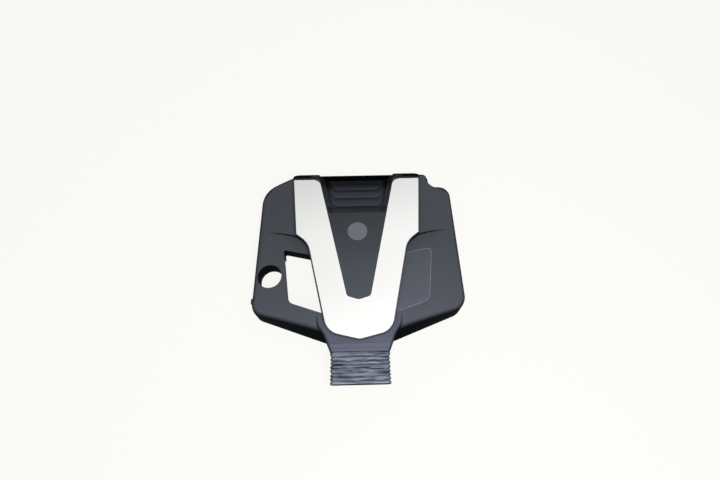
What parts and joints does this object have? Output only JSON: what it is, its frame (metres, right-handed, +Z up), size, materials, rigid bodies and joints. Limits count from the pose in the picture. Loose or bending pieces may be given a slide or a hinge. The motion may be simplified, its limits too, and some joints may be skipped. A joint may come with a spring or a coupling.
{
  "type": "engine cover",
  "caption": "Moulded black engine cover with a raised silver V trim, rear louvre, oil filler opening, side cut-out and a corrugated front duct.",
  "frame": {"origin": "middle of the bounding box, on the plane of the skirt's lower edge", "axes": "+Z up, +Y to the rear where the louvre is, +X to the right seen from the front"},
  "size_m": [0.6152, 0.6455, 0.0898],
  "materials": {
    "black_plastic": "fine grained satin moulding",
    "silver_paint": "silver paint on plastic",
    "louvre_black": "satin black",
    "badge_black": "satin with a plain raised rim",
    "bellows_rubber": "dusty matt rubber",
    "grommet_rubber": "matt",
    "foam": "open foam"
  },
  "bodies": {
    "root": {"cover_shell": "black_plastic", "silver_trim": "silver_paint", "louvre_insert": "louvre_black", "blank_badge": "badge_black", "front_bellows": "bellows_rubber", "grommet_front_left": "grommet_rubber", "grommet_front_right": "grommet_rubber", "grommet_rear_left": "grommet_rubber", "grommet_rear_right": "grommet_rubber", "sound_pad_centre": "foam", "sound_pad_right": "foam", "sound_pad_rear_left": "foam", "sound_pad_rear_right": "foam"}
  },
  "joints": []
}
